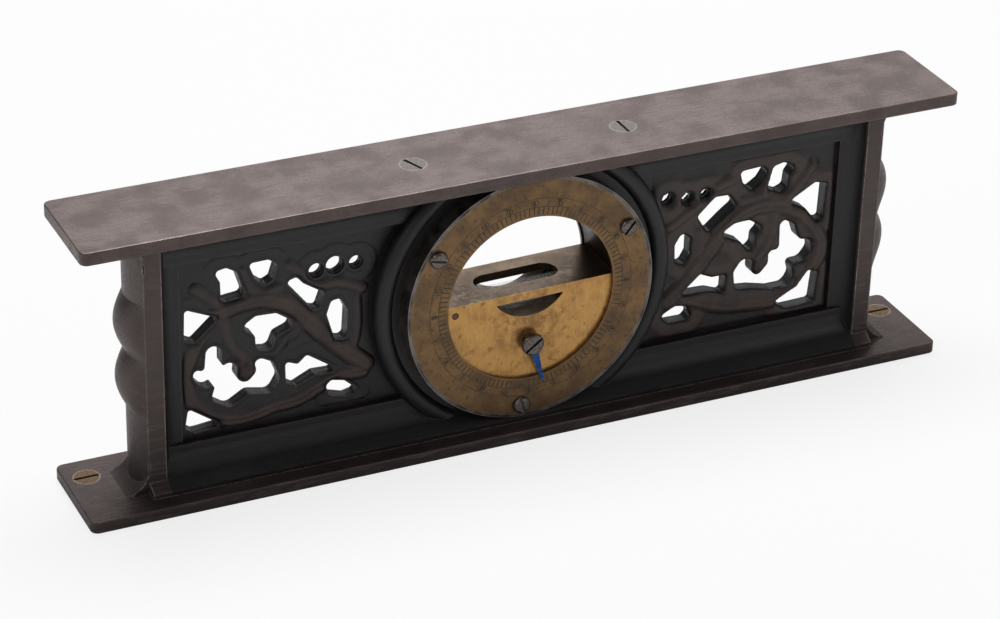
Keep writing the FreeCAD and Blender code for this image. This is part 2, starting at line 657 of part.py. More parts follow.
def sight_slot_tool():
    depth = "(vial_drop + 1)"
    pieces = [box("sight_slot_middle", "sight_slot_length - sight_slot_width", depth, "sight_slot_width",
                  y="flat_height + 1 - %s / 2" % depth, z="-sight_slot_width / 2")]
    for name, side in SIDES:
        pieces.append(cylinder(name + "_sight_slot_end", "sight_slot_width / 2", depth,
                               "%d * (sight_slot_length - sight_slot_width) / 2" % side, "flat_height + 1", 0,
                               FRONT))
    return fused("sight_slot", pieces)


def pin_hole(name):
    """The hole for the pin, through the wheel's face and the left plug."""
    return cylinder(name, "pin_radius + seat_clearance", "pin_length + %d" % OVERRUN, "-pin_distance",
                    "pin_height", "wheel_face - pin_length")


def vial_wheel():
    disc = cylinder("wheel_disc", "wheel_radius", "wheel_face + wheel_back", z="-wheel_back")
    inside = cylinder("wheel_inside", "wheel_hole_radius", "housing_width", z="-housing_face")
    above = box("above_flat", "wheel_hole_radius * 3", "wheel_radius", "housing_width",
                y="flat_height + wheel_radius / 2", z="-housing_face")
    bore = cylinder("vial_bore", "vial_bore_radius", "wheel_radius * 3", "-wheel_radius * 1.5",
                    "vial_axis", 0, ALONG_X)
    pivot = cylinder("pivot_hole", "pointer_screw_shank_radius + seat_clearance", "pointer_screw_length", 0,
                     "-pivot_drop", "wheel_face - pointer_screw_length + spacer_thickness")
    recess = box("spring_recess", "spring_length + 2 * spring_clearance", "wheel_radius",
                 "spring_width + 2 * spring_clearance", y="-spring_floor - wheel_radius / 2",
                 z="-spring_width / 2 - spring_clearance")
    return on_wheel(cut("vial_wheel", disc, common("wheel_gap", inside, above), bore, window_tool(),
                        sight_slot_tool(), pin_hole("wheel_pin_hole"), pivot, recess))


def friction_spring():
    bow = cylinder("spring_bow", "spring_radius", "spring_width", 0, "-spring_centre", "-spring_width / 2")
    inner = cylinder("spring_inner", "spring_radius - spring_thickness", "spring_width + 2", 0,
                     "-spring_centre", "-spring_width / 2 - 1")
    window = box("spring_ends", "spring_length", "wheel_radius", "spring_width + 2",
                 y="-spring_ends - wheel_radius / 2", z="-spring_width / 2 - 1")
    return on_wheel(common("friction_spring", cut("spring_strip", bow, inner), window))


def rounded_rod(name, radius, length, rounding):
    """A rod along X about the vial's axis with both ends rounded."""
    rod = cylinder(name + "_rod", radius, length, "-(%s) / 2" % length, "vial_axis", 0, ALONG_X)
    return rounded(name, rod, rounding, is_circle)


def vial_glass():
    outer = rounded_rod("vial_outside", "vial_radius", "vial_length", dim("vial_radius") * 0.6)
    bore = rounded_rod("vial_inside", "vial_radius - vial_wall", "vial_length - 3 * vial_wall",
                       (dim("vial_radius") - dim("vial_wall")) * 0.6)
    return on_wheel(cut("vial_glass", outer, bore))


def vial_spirit():
    skin = "(vial_wall + 0.02)"
    rod = rounded_rod("spirit_rod", "vial_radius - " + skin, "vial_length - 3 * " + skin,
                      (dim("vial_radius") - dim("vial_wall")) * 0.6)
    bubble = made("Part::Ellipsoid", "bubble")
    bind(bubble, Radius1="bubble_depth", Radius2="bubble_length / 2", Radius3="vial_radius * 0.6")
    place(bubble, 0, "vial_axis + vial_radius - %s" % skin, 0, FRONT.inverted())
    return on_wheel(cut("vial_spirit", rod, bubble))


def vial_bedding():
    rings = []
    for name, side in SIDES:
        middle = "%d * (vial_length - bedding_length) / 2 - bedding_length / 2" % side
        outer = cylinder(name + "_bedding_outside", "plug_radius", "bedding_length", middle, "vial_axis", 0,
                         ALONG_X)
        inner = cylinder(name + "_bedding_inside", "vial_radius + seat_clearance", "bedding_length + 2",
                         middle + " - 1", "vial_axis", 0, ALONG_X)
        rings.append(cut(name + "_bedding", outer, inner))
    return on_wheel(made("Part::Compound", "vial_bedding", Links=rings))


def vial_plug(name, side):
    """A brass plug in the mouth of the vial bore, with a screwdriver slot in its outer end."""
    x = "%d * (plug_inner_end + plug_length / 2) - plug_length / 2" % side
    blank = cylinder(name + "_plug_blank", "plug_radius", "plug_length", x, "vial_axis", 0, ALONG_X)
    slot = box(name + "_plug_slot", "driver_slot_depth * 2", "driver_slot_width", "vial_bore_radius * 3",
               "%d * plug_outer_end" % side, "vial_axis", "-vial_bore_radius * 1.5")
    tools = [slot]
    if side < 0:
        tools.append(pin_hole("plug_pin_hole"))
    return on_wheel(cut("vial_plug_" + name, blank, *tools))


def vial_plug_pin():
    rod = cylinder("pin_rod", "pin_radius", "pin_length", "-pin_distance", "pin_height",
                   "wheel_face - pin_length")
    return on_wheel(rounded("vial_plug_pin", rod, dim("pin_radius") / 5, is_circle))


# Pointer and its screw, drawn about the pointer screw's axis

def on_pivot(thing, out, extra_turn=0.0):
    """Set a piece on the wheel's face at the pointer screw, out from the dial's middle plane."""
    angle = math.radians(dim("wheel_set_angle"))
    x = "pivot_drop * %.9f" % math.sin(angle)
    height = "-pivot_drop * %.9f" % math.cos(angle)
    return in_front(thing, x, height, out, dim("wheel_set_angle") + extra_turn)


def pointer():
    eye = cylinder("pointer_eye", "pointer_eye_radius", "pointer_thickness")
    blade = made("Part::Wedge", "pointer_blade")
    bind(blade, Xmin="-pointer_tip_width / 2", Xmax="pointer_tip_width / 2")
    bind(blade, X2min="-pointer_root_width / 2", X2max="pointer_root_width / 2")
    bind(blade, Ymin="-pointer_length", Ymax="0")
    bind(blade, Zmin="0", Zmax="pointer_thickness", Z2min="0", Z2max="pointer_thickness")
    hole = cylinder("pointer_hole", "pointer_screw_shank_radius + pivot_clearance",
                    "pointer_thickness + 2 * %d" % OVERRUN, z=-OVERRUN)
    shape = cut("pointer", fused("pointer_blank", [eye, blade]), hole)
    return on_pivot(shape, "pointer_back", dim("pointer_set_angle"))


def pointer_spacer():
    hole = "pointer_screw_shank_radius + pivot_clearance"
    corners = [
        (hole, 0), ("spacer_radius", 0), ("spacer_radius", "spacer_thickness"), (hole, "spacer_thickness"),
    ]
    return on_pivot(turned("pointer_spacer", corners), "wheel_face")


def pointer_screw():
    one = screw("pointer_screw", "pointer_screw_head_radius", "pointer_screw_head_height",
                "pointer_screw_shank_radius", "pointer_screw_length")
    return on_pivot(one, "pointer_back" + " + pointer_thickness", 35)


# Clamp screws in the top rail, and the plug screws in the base rail

def clamp_screw(name, side, turn):
    shank = "(overall_height - clamp_head_height - clamp_screw_tip)"
    one = screw("clamp_screw_" + name, "clamp_head_radius", "clamp_head_height", "clamp_shank_radius", shank,
                domed=False)
    return place(one, "%d * clamp_screw_distance" % side, 0, "overall_height - clamp_head_height",
                 Rotation(Vector(0, 0, 1), turn))


def clamp_pad(name, side):
    """A brass pad under a clamp screw, its foot hollowed to the housing."""
    rod = cylinder(name + "_pad_rod", "clamp_pad_radius", "clamp_screw_tip - axis_height",
                   "%d * clamp_screw_distance" % side, 0, "axis_height")
    drum = cylinder(name + "_pad_hollow", "housing_radius + clamp_clearance", "housing_width",
                    y="housing_face", z="axis_height", turn=FRONT)
    return cut("clamp_pad_" + name, rod, drum)


def base_plug_screws():
    plugs = []
    for name, side in SIDES:
        x = "%d * plug_screw_distance" % side
        height = "base_rail_thickness - plug_screw_sink"
        plug = cylinder(name + "_plug_screw_blank", "plug_screw_radius", height, x, "plug_screw_offset",
                        "plug_screw_sink")
        slot = box(name + "_plug_screw_slot", "plug_screw_radius * 3", "driver_slot_width",
                   "driver_slot_depth + 1", x, "plug_screw_offset", "base_rail_thickness - driver_slot_depth")
        plugs.append(cut(name + "_plug_screw", plug, slot))
    return made("Part::Compound", "base_plug_screws", Links=plugs)


CLAMP_SLOT_ANGLES = {"left": 110, "right": 90}


def build():
    """Every sub-part, by the name of its node."""
    parts = [frame_casting(), housing_drum(), dial_ring(), dial_screws(), vial_wheel(), friction_spring()]
    parts += [vial_glass(), vial_spirit(), vial_bedding(), vial_plug_pin()]
    parts += [pointer(), pointer_spacer(), pointer_screw(), base_plug_screws()]
    for name, side in SIDES:
        parts.append(vial_plug(name, side))
        parts.append(clamp_screw(name, side, CLAMP_SLOT_ANGLES[name]))
        parts.append(clamp_pad(name, side))
    return parts


def check(parts):
    """Stop at any failed object and any sub-part without a valid solid."""
    for thing in doc.Objects:
        if "Invalid" in thing.State or "Error" in thing.State:
            raise RuntimeError("%s failed: %s" % (thing.Name, thing.State))
    for part in parts:
        shape = part.Shape
        if shape.isNull() or not shape.isValid() or not shape.Solids:
            raise RuntimeError("%s has no valid solid" % part.Name)


def export(parts):
    os.makedirs("parts", exist_ok=True)
    for part in parts:
        part.Label = part.Name
        part.Shape.exportStep("parts/%s.step" % part.Label)
        print("%-20s %2d solids %10.1f mm3" % (part.Label, len(part.Shape.Solids), part.Shape.Volume))


parts = build()
doc.recompute()
check(parts)
export(parts)
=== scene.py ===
import math

import bmesh
import bpy
import numpy as np
from mathutils import Matrix, Vector


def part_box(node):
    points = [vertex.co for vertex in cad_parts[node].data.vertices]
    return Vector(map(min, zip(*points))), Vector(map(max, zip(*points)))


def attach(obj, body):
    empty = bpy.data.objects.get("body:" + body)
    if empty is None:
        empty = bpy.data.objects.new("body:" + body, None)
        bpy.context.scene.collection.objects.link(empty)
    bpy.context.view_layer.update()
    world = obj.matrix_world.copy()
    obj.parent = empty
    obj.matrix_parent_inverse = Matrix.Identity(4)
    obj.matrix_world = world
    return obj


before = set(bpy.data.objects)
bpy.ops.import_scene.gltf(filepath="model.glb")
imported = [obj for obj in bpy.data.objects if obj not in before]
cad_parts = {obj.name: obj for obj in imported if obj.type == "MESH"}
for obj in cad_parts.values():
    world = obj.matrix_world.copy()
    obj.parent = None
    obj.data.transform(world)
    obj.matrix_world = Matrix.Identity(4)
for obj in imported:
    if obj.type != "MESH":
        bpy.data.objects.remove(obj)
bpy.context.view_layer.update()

MM = 0.001


# Places read from the frame, in millimetres
def span(node):
    """Lowest and highest corner of a node in millimetres."""
    return [[value / MM for value in corner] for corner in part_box(node)]


CASTING_HIGH = span("frame_casting")[1]
HALF_LENGTH = CASTING_HIGH[0]
HEIGHT = CASTING_HIGH[2]
DIAL_CENTRE = HEIGHT / 2
DIAL_FACE = span("dial_ring")[0][1]
WHEEL_FACE = span("vial_wheel")[1][1]

# Camera: the photograph's view, in radians and millimetres, with its clipping in metres
CAMERA_TURN = math.radians(-25.329)
CAMERA_RISE = math.radians(28.774)
CAMERA_ROLL = math.radians(1.488)
CAMERA_DISTANCE = 634.5
CAMERA_TARGET = Vector((-3.094, 0, 23.39))
LENS, SENSOR_WIDTH = 119.8, 36
CLIP_START, CLIP_END = 0.01, 20

# Lamps, background and floor, in metres and watts
LAMP_AIM = (0, 0, 0.03)
LAMPS = (
    {"name": "overhead", "place": (0.05, 0.18, 0.8), "size": (0.6, 0.4), "power": 9},
    {"name": "left", "place": (-0.6, -0.35, 0.55), "size": (0.4, 0.4), "power": 1.2},
    {"name": "behind", "place": (0.36, 0.75, 0.46), "size": (0.5, 0.3), "power": 0.8},
    {"name": "right", "place": (0.6, -0.5, 0.4), "size": (0.4, 0.4), "power": 0.8},
)
SOFT_LIGHT = 0.16
WHITE, FLOOR_GREY = (1, 1, 1, 1), (0.6, 0.6, 0.6, 1)
FLOOR_REACH = 3
FLOOR_DROP = 0.05 * MM
FLOOR_GLOW = 0.8


def add_object(name, data):
    added = bpy.data.objects.new(name, data)
    bpy.context.collection.objects.link(added)
    return added


def add_camera():
    back = Vector((
        math.sin(CAMERA_TURN) * math.cos(CAMERA_RISE),
        -math.cos(CAMERA_TURN) * math.cos(CAMERA_RISE),
        math.sin(CAMERA_RISE),
    ))
    right = (-back).cross(Vector((0, 0, 1))).normalized()
    up = right.cross(-back)
    turn = Matrix((right, up, back)).transposed() @ Matrix.Rotation(CAMERA_ROLL, 3, "Z")
    data = bpy.data.cameras.new("camera")
    data.lens, data.sensor_width = LENS, SENSOR_WIDTH
    data.clip_start, data.clip_end = CLIP_START, CLIP_END
    camera = add_object("camera", data)
    place = (CAMERA_TARGET + back * CAMERA_DISTANCE) * MM
    camera.matrix_world = Matrix.Translation(place) @ turn.to_4x4()
    bpy.context.scene.camera = camera


def add_lamp(name, place, size, power):
    data = bpy.data.lights.new(name, "AREA")
    data.shape = "RECTANGLE"
    data.size, data.size_y = size
    data.energy = power
    lamp = add_object(name, data)
    lamp.location = place
    lamp.rotation_euler = (Vector(LAMP_AIM) - Vector(place)).to_track_quat("-Z", "Y").to_euler()


def seen_directly(nodes, links):
    """1 for camera rays and rays through glass, which see the plain white background."""
    path = nodes.new("ShaderNodeLightPath")
    either = nodes.new("ShaderNodeMath")
    either.operation = "MAXIMUM"
    links.new(path.outputs["Is Camera Ray"], either.inputs[0])
    links.new(path.outputs["Is Transmission Ray"], either.inputs[1])
    return either.outputs[0]


def mixed_shaders(nodes, links, share, first, second):
    node = nodes.new("ShaderNodeMixShader")
    for source, socket in zip((share, first, second), node.inputs):
        links.new(source, socket)
    return node.outputs[0]


def background(nodes, strength):
    node = nodes.new("ShaderNodeBackground")
    node.inputs["Color"].default_value = WHITE
    node.inputs["Strength"].default_value = strength
    return node.outputs[0]


def add_world():
    """Soft light from all round; the camera itself sees plain white."""
    world = bpy.data.worlds.new("studio")
    world.use_nodes = True
    nodes, links = world.node_tree.nodes, world.node_tree.links
    nodes.clear()
    soft, white = background(nodes, SOFT_LIGHT), background(nodes, 1)
    out = nodes.new("ShaderNodeOutputWorld")
    links.new(mixed_shaders(nodes, links, seen_directly(nodes, links), soft, white), out.inputs[0])
    bpy.context.scene.world = world


def floor_paint():
    """Pale grey that takes the object's shadow, with a white glow where it is seen directly."""
    material = bpy.data.materials.new("floor")
    material.use_nodes = True
    nodes, links = material.node_tree.nodes, material.node_tree.links
    nodes.clear()
    matt, glow = nodes.new("ShaderNodeBsdfDiffuse"), nodes.new("ShaderNodeEmission")
    matt.inputs["Color"].default_value = FLOOR_GREY
    glow.inputs["Color"].default_value = WHITE
    share = nodes.new("ShaderNodeMath")
    share.operation = "MULTIPLY"
    share.inputs[1].default_value = FLOOR_GLOW
    links.new(seen_directly(nodes, links), share.inputs[0])
    out = nodes.new("ShaderNodeOutputMaterial")
    surface = mixed_shaders(nodes, links, share.outputs[0], matt.outputs[0], glow.outputs[0])
    links.new(surface, out.inputs[0])
    return material


def add_floor():
    corners = [(x * FLOOR_REACH, y * FLOOR_REACH, 0) for x, y in ((-1, -1), (1, -1), (1, 1), (-1, 1))]
    mesh = bpy.data.meshes.new("floor")
    mesh.from_pydata(corners, [], [(0, 1, 2, 3)])
    mesh.materials.append(floor_paint())
    floor = add_object("floor", mesh)
    floor.location.z = -FLOOR_DROP


# Colours and settings of the materials
BEVEL_SAMPLES, HOLLOW_SAMPLES = 6, 8
HOLLOW_DEEP, HOLLOW_OPEN = 0.35, 0.85
NOISE_ROUGHNESS = 0.55
JAPAN, JAPAN_DUST = (0.0062, 0.0055, 0.0078), (0.014, 0.012, 0.0145)
WORN_JAPAN = (0.05, 0.03, 0.022)
IRON, IRON_DARK, IRON_BRIGHT = (0.18, 0.144, 0.138), (0.115, 0.091, 0.087), (0.5, 0.42, 0.37)
# Painted shade: darker iron for upright faces, and for the foot under the top rail
IRON_SIDE_SHADE, IRON_FOOT_SHADE = (0.075, 0.054, 0.048), (0.05, 0.038, 0.036)
RUST = (0.075, 0.036, 0.021)
TURNED_IRON, TURNED_IRON_DARK = (0.17, 0.15, 0.135), (0.05, 0.043, 0.04)
OLIVE, OLIVE_DARK, OLIVE_BRIGHT = (0.22, 0.129, 0.056), (0.135, 0.082, 0.043), (0.5, 0.34, 0.15)
GRIME = (0.07, 0.05, 0.03)
GOLD, GOLD_DEEP, GOLD_PALE = (0.56, 0.31, 0.1), (0.4, 0.21, 0.072), (0.66, 0.42, 0.16)
GOLD_SPOT, GOLD_STAIN, GOLD_EDGE = (0.17, 0.085, 0.035), (0.2, 0.1, 0.045), (0.72, 0.5, 0.22)
# The third dull colour is painted shade, for the right of the wheel's flat
DULL, DULL_DEEP, DULL_SHADE = (0.23, 0.165, 0.115), (0.14, 0.098, 0.066), (0.07, 0.042, 0.025)
# Painted shade: nearly black for the wheel's walls and undersides
SLOT_WALL_SHADE = (0.022, 0.014, 0.009)
PLASTER, PLASTER_DARK = (0.72, 0.68, 0.6), (0.5, 0.46, 0.4)
INK, INK_GONE = (0.022, 0.016, 0.01), (0.11, 0.07, 0.035)

# Where a paint starts to change and where the change is full, in millimetres
TOP_RAIL_DEPTHS = (2.66, 2.58)
BASE_RAIL_TOPS = (2.43, 2.51)
END_STRIP_INSETS = (16.65, 16.6)
# Painted shade under the top rail: strongest at the first height, gone at the second
SHADED_FOOT = (4, 30)
CARVED_DEPTHS = (1.35, 1.95)
WHEEL_FACE_DEPTHS = (0.3, 0.1)
# Painted shade on the wheel: where it starts to the right and where it is full
SHADED_RIGHT = (8, 16)
CORNER_REACH = 4
# The wheel's stain: how far below the middle, and the squares of the distances where it fades
STAIN_DROP, STAIN_SQUARES = 5, (4, 90)
# Turning marks: radians of their wave to the millimetre
TURNING_WAVES = 42

# Plain metals: colour, bright edges, roughness, share of metal, and the nodes that are made of it
PLAIN_METALS = {
    "browned_steel": ((0.16, 0.14, 0.125), (0.6, 0.56, 0.5), 0.26, 0.9, ("dial_screws", "pointer_screw")),
    "stained_pin": ((0.14, 0.075, 0.035), (0.3, 0.18, 0.09), 0.4, 0.5, ("vial_plug_pin",)),
    "dull_brass": ((0.14, 0.09, 0.045), (0.4, 0.28, 0.12), 0.4, 0.6, ("base_plug_screws",)),
    "clamp_steel": (
        (0.2, 0.18, 0.165), (0.62, 0.58, 0.52), 0.3, 0.9, ("clamp_screw_left", "clamp_screw_right"),
    ),
    "blued_steel": ((0.012, 0.075, 0.27), (0.1, 0.24, 0.5), 0.2, 0.75, ("pointer",)),
    "spring_steel": ((0.3, 0.29, 0.3), (0.6, 0.6, 0.6), 0.24, 0.9, ("friction_spring",)),
}
METAL_SHADE, METAL_ROUGHER = 0.45, 0.16

# Clear materials: colour, how opaque they are, and the node that is made of each
CLEAR_MATERIALS = {
    "vial_glass": ((0.93, 0.96, 0.95), 0.14, "vial_glass"),
    "spirit": ((0.9, 0.94, 0.8), 0.1, "vial_spirit"),
}
CLEAR_SHADE = 0.96


class Paint:
    """A material, with short calls for the nodes that it is made of. Places are in millimetres."""

    def __init__(self, name):
        self.material = bpy.data.materials.new(name)
        self.material.use_nodes = True
        self.nodes, self.links = self.material.node_tree.nodes, self.material.node_tree.links
        self.shader = self.nodes["Principled BSDF"]
        place = self.nodes.new("ShaderNodeTexCoord").outputs["Object"]
        scaled = self.nodes.new("ShaderNodeVectorMath")
        scaled.operation = "SCALE"
        self.links.new(place, scaled.inputs[0])
        scaled.inputs["Scale"].default_value = 1 / MM
        self.place = scaled.outputs[0]
        parts = self.nodes.new("ShaderNodeSeparateXYZ")
        self.links.new(self.place, parts.inputs[0])
        self.x, self.y, self.z = parts.outputs
        self.geometry = self.nodes.new("ShaderNodeNewGeometry")

    def plug(self, value, socket):
        """Links a socket, or sets a colour or a number."""
        if isinstance(value, bpy.types.NodeSocket):
            self.links.new(value, socket)
        elif isinstance(value, tuple):
            socket.default_value = (*value, 1)
        else:
            socket.default_value = value

    def maths(self, operation, first, second=0.0):
        node = self.nodes.new("ShaderNodeMath")
        node.operation = operation
        self.plug(first, node.inputs[0])
        self.plug(second, node.inputs[1])
        return node.outputs[0]

    def times(self, first, second):
        return self.maths("MULTIPLY", first, second)

    def without_sign(self, value):
        return self.maths("ABSOLUTE", value)

    def ramp(self, value, low, high, start=0.0, end=1.0):
        """A smooth step from start at low to end at high."""
        node = self.nodes.new("ShaderNodeMapRange")
        node.interpolation_type = "SMOOTHSTEP"
        self.plug(value, node.inputs["Value"])
        for name, number in (("From Min", low), ("From Max", high), ("To Min", start), ("To Max", end)):
            node.inputs[name].default_value = number
        return node.outputs[0]

    def noise(self, scale, detail=3.0, stretch=(1, 1, 1)):
        """Noise with about scale patches to the millimetre."""
        node, mapping = self.nodes.new("ShaderNodeTexNoise"), self.nodes.new("ShaderNodeMapping")
        mapping.inputs["Scale"].default_value = stretch
        self.links.new(self.place, mapping.inputs["Vector"])
        self.links.new(mapping.outputs[0], node.inputs["Vector"])
        for name, number in (("Scale", scale), ("Detail", detail), ("Roughness", NOISE_ROUGHNESS)):
            node.inputs[name].default_value = number
        return node.outputs["Fac"]

    def mix(self, share, first, second):
        node = self.nodes.new("ShaderNodeMix")
        node.data_type = "RGBA"
        self.plug(share, node.inputs["Factor"])
        self.plug(first, node.inputs[6])
        self.plug(second, node.inputs[7])
        return node.outputs[2]

    def edges(self, radius, low=0.02, high=0.3):
        """1 on edges and crests, within about radius."""
        bevel = self.nodes.new("ShaderNodeBevel")
        bevel.samples = BEVEL_SAMPLES
        bevel.inputs["Radius"].default_value = radius * MM
        dot = self.nodes.new("ShaderNodeVectorMath")
        dot.operation = "DOT_PRODUCT"
        self.links.new(bevel.outputs[0], dot.inputs[0])
        self.links.new(self.geometry.outputs["Normal"], dot.inputs[1])
        return self.ramp(self.maths("SUBTRACT", 1.0, dot.outputs["Value"]), low, high)

    def hollows(self, distance):
        """1 where the surface is shut in within distance."""
        node = self.nodes.new("ShaderNodeAmbientOcclusion")
        node.samples = HOLLOW_SAMPLES
        node.inputs["Distance"].default_value = distance * MM
        return self.ramp(node.outputs["AO"], HOLLOW_DEEP, HOLLOW_OPEN, 1.0, 0.0)

    def normal(self, axis):
        parts = self.nodes.new("ShaderNodeSeparateXYZ")
        self.links.new(self.geometry.outputs["Normal"], parts.inputs[0])
        return parts.outputs[axis]

    def bump(self, heights, depth):
        """Bump from a list of (value, share); depth in millimetres."""
        total = None
        for value, share in heights:
            part = self.times(value, share)
            total = part if total is None else self.maths("ADD", total, part)
        node = self.nodes.new("ShaderNodeBump")
        node.inputs["Strength"].default_value = 1
        node.inputs["Distance"].default_value = depth * MM
        self.links.new(total, node.inputs["Height"])
        self.links.new(node.outputs[0], self.shader.inputs["Normal"])

    def finish(self, colour, rough, metal):
        self.plug(colour, self.shader.inputs["Base Color"])
        self.plug(rough, self.shader.inputs["Roughness"])
        self.plug(metal, self.shader.inputs["Metallic"])
        return self.material


def japan_colour(paint, grain, worn):
    """Dusty black japan, rubbed brown on its edges."""
    dusty = paint.mix(paint.ramp(grain, 0.45, 0.75), JAPAN, JAPAN_DUST)
    rubbed = paint.times(worn, paint.ramp(grain, 0.3, 0.62))
    return paint.mix(paint.times(rubbed, 0.75), dusty, WORN_JAPAN)


def carved_iron_paint():
    """The carved fretwork: black japan, worn brown on its heights."""
    paint = Paint("carved_iron")
    grain, fine = paint.noise(2.2, detail=5), paint.noise(9.0)
    high = paint.ramp(paint.without_sign(paint.y), *CARVED_DEPTHS)
    patches = paint.ramp(paint.noise(0.22, detail=4), 0.3, 0.6, 0.35, 1)
    worn = paint.times(high, paint.ramp(grain, 0.2, 0.6, 0.5, 1.0))
    japan = japan_colour(paint, grain, paint.edges(0.9))
    japan = paint.mix(paint.times(worn, patches), japan, WORN_JAPAN)
    paint.bump([(grain, 0.6), (fine, 0.3)], 0.09)
    return paint.finish(japan, paint.ramp(grain, 0.3, 0.7, 0.34, 0.52), 0.0)


def bare_iron_colour(paint, grain, blotch, fine, scratch, worn):
    """Worn iron with scratches, rust and bright edges, and painted shade: darker on upright faces and
    towards the foot.
    """
    iron = paint.mix(paint.ramp(blotch, 0.38, 0.66), IRON, IRON_DARK)
    iron = paint.mix(paint.ramp(grain, 0.5, 0.7, 0, 0.45), iron, IRON_DARK)
    # Painted shade on upright faces, which face the front or back
    upright = paint.ramp(paint.without_sign(paint.normal("Y")), 0.5, 0.9, 0, 0.6)
    iron = paint.mix(upright, iron, IRON_SIDE_SHADE)
    # Painted shade towards the foot, under the top rail
    iron = paint.mix(paint.ramp(paint.z, *SHADED_FOOT, 0.75, 0.0), iron, IRON_FOOT_SHADE)
    iron = paint.mix(paint.ramp(scratch, 0.5, 0.72), iron, IRON_DARK)
    iron = paint.mix(paint.times(paint.ramp(fine, 0.55, 0.75), 0.35), iron, RUST)
    return paint.mix(paint.times(worn, paint.ramp(grain, 0.36, 0.52)), iron, IRON_BRIGHT)


def bare_share(paint, blotch):
    """1 on the rails, less on the dirty end strips and in hollows, and 0 where the japan is left."""
    top_start, top_full = TOP_RAIL_DEPTHS
    end_start, end_full = END_STRIP_INSETS
    top = paint.ramp(paint.z, HEIGHT - top_start, HEIGHT - top_full)
    base = paint.ramp(paint.z, *BASE_RAIL_TOPS, 1.0, 0.0)
    end = paint.ramp(paint.without_sign(paint.x), HALF_LENGTH - end_start, HALF_LENGTH - end_full)
    dirty_end = paint.times(end, paint.ramp(blotch, 0.3, 0.7, 0.55, 0.95))
    bare = paint.maths("MAXIMUM", paint.maths("MAXIMUM", top, base), dirty_end)
    clean = paint.maths("SUBTRACT", 1.0, paint.times(paint.hollows(CORNER_REACH), 0.55))
    return paint.times(bare, clean)


def frame_iron_paint():
    """Cast iron: black japan on the panels, and bare worn iron on the rails and end strips."""
    paint = Paint("japanned_iron")
    grain, blotch, fine = paint.noise(2.2, detail=5), paint.noise(0.16, detail=4), paint.noise(9.0)
    scratch = paint.noise(1.6, stretch=(0.12, 1.6, 1))
    worn = paint.edges(0.7)
    ridge = paint.times(paint.edges(0.6, 0.02, 0.14), paint.ramp(paint.noise(0.5, detail=4), 0.42, 0.6))
    japan = paint.mix(paint.times(ridge, 0.7), japan_colour(paint, grain, worn), RUST)
    iron = bare_iron_colour(paint, grain, blotch, fine, scratch, worn)
    bare = bare_share(paint, blotch)
    paint.bump([(grain, 0.5), (fine, 0.3), (scratch, 0.25)], 0.07)
    rough = paint.ramp(grain, 0.3, 0.7, 0.36, 0.55)
    return paint.finish(paint.mix(bare, japan, iron), rough, paint.times(bare, 0.75))


def turned_iron_paint():
    paint = Paint("turned_iron")
    grain, blotch = paint.noise(2.0, detail=4), paint.noise(0.3, detail=4)
    colour = paint.mix(paint.ramp(blotch, 0.35, 0.65), TURNED_IRON, TURNED_IRON_DARK)
    colour = paint.mix(paint.times(paint.edges(0.4), 0.6), colour, IRON_BRIGHT)
    paint.bump([(grain, 0.5), (paint.noise(6, detail=2), 0.4)], 0.03)
    return paint.finish(colour, paint.ramp(grain, 0.3, 0.7, 0.3, 0.48), 0.8)


def square_distance(paint, middle):
    """Square of the distance, seen from the front, from the point at a height on the middle line."""
    up = paint.maths("SUBTRACT", paint.z, middle)
    return paint.maths("ADD", paint.times(paint.x, paint.x), paint.maths("POWER", up, 2))


def aged_brass_paint():
    """Engraved dial brass, darkened to olive brown, with turning marks and grime."""
    paint = Paint("aged_brass")
    grain, blotch = paint.noise(1.2, detail=5), paint.noise(0.18, detail=4)
    colour = paint.mix(paint.ramp(blotch, 0.35, 0.66), OLIVE, OLIVE_DARK)
    colour = paint.mix(paint.ramp(grain, 0.52, 0.72, 0, 0.5), colour, GRIME)
    radius = paint.maths("SQRT", square_distance(paint, DIAL_CENTRE))
    turning = paint.maths("SINE", paint.times(radius, TURNING_WAVES))
    colour = paint.mix(paint.times(paint.edges(0.3), 0.5), colour, OLIVE_BRIGHT)
    paint.bump([(turning, 0.06), (grain, 0.5)], 0.02)
    return paint.finish(colour, paint.ramp(grain, 0.3, 0.7, 0.34, 0.5), 0.7)


def wheel_gold(paint, blotch, brushed):
    """Brushed golden brass with dark spots, and a stain below the middle."""
    gold = paint.mix(paint.ramp(blotch, 0.4, 0.7), GOLD, GOLD_DEEP)
    gold = paint.mix(paint.ramp(brushed, 0.5, 0.75, 0, 0.5), gold, GOLD_PALE)
    gold = paint.mix(paint.ramp(paint.noise(0.8, detail=5), 0.55, 0.75, 0, 0.7), gold, GOLD_SPOT)
    near = paint.ramp(square_distance(paint, DIAL_CENTRE - STAIN_DROP), *STAIN_SQUARES, 1, 0)
    stain = paint.times(near, paint.ramp(paint.noise(0.6, detail=5), 0.42, 0.6))
    return paint.mix(paint.times(stain, 0.6), gold, GOLD_STAIN)


def wheel_dull(paint, blotch):
    """Grey-brown brass with painted shade: browner to the right, and nearly black on walls and undersides.
    """
    dull = paint.mix(paint.ramp(blotch, 0.35, 0.65), DULL, DULL_DEEP)
    # Painted shade towards the right
    dull = paint.mix(paint.ramp(paint.x, *SHADED_RIGHT, 0, 0.75), dull, DULL_SHADE)
    # Painted shade on faces that don't face up
    wall_shade = paint.ramp(paint.normal("Z"), 0.6, 0.8, 1, 0)
    return paint.mix(paint.times(wall_shade, 0.9), dull, SLOT_WALL_SHADE)


